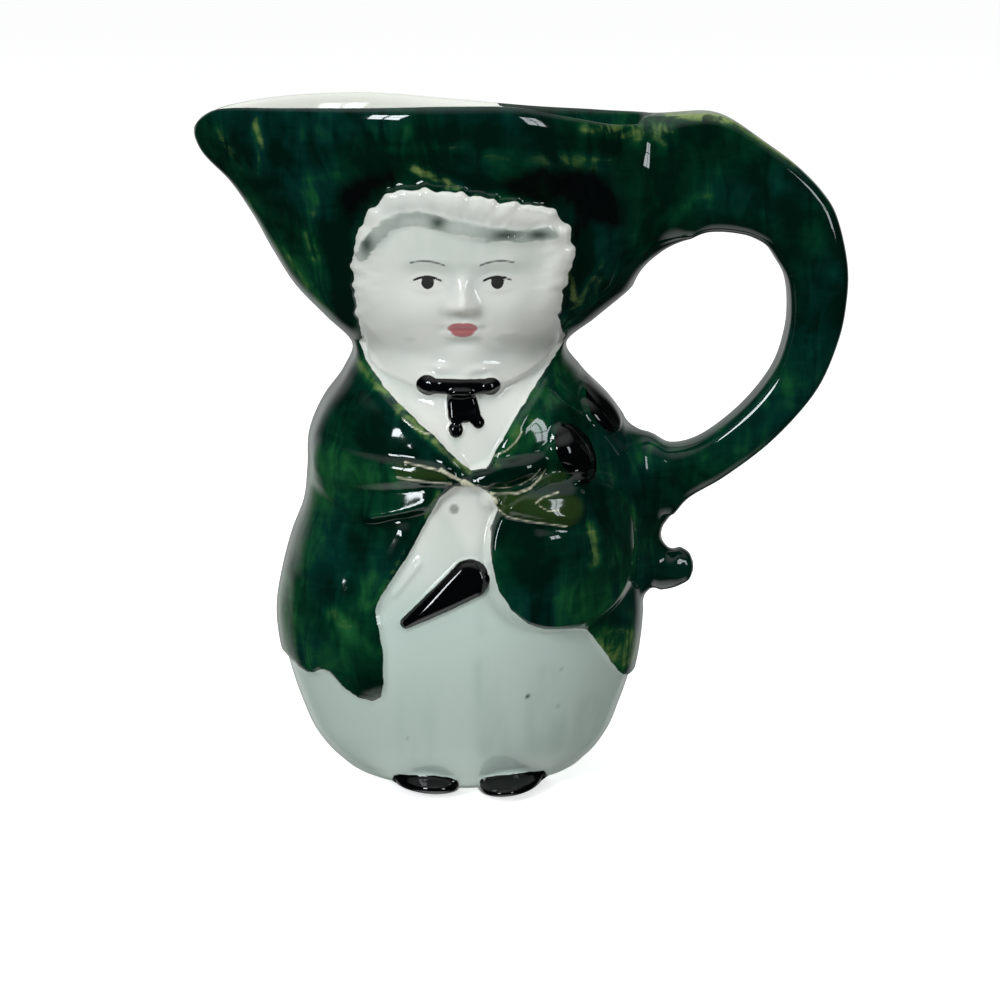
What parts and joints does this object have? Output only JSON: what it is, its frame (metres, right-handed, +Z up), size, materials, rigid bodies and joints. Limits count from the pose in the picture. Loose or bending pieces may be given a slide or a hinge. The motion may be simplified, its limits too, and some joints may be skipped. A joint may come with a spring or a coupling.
{
  "type": "figural creamer",
  "caption": "Glazed pottery cream jug shaped as a stout figure in a cape, whose wide green hat is the mouth, with a pouring point on one side and a loop handle on the other.",
  "frame": {"origin": "centre of the flat underside, on the surface that the jug stands on", "axes": "+Z up, +X towards the handle, so the pouring lip points along -X, and the front of the figure faces -Y"},
  "size_m": [0.1072, 0.0527, 0.1124],
  "materials": {
    "glaze": "high-gloss hand-painted underglaze, green cape and hat, white face, shirt, skirt and inside"
  },
  "bodies": {
    "root": {"creamer": "glaze"}
  },
  "joints": []
}
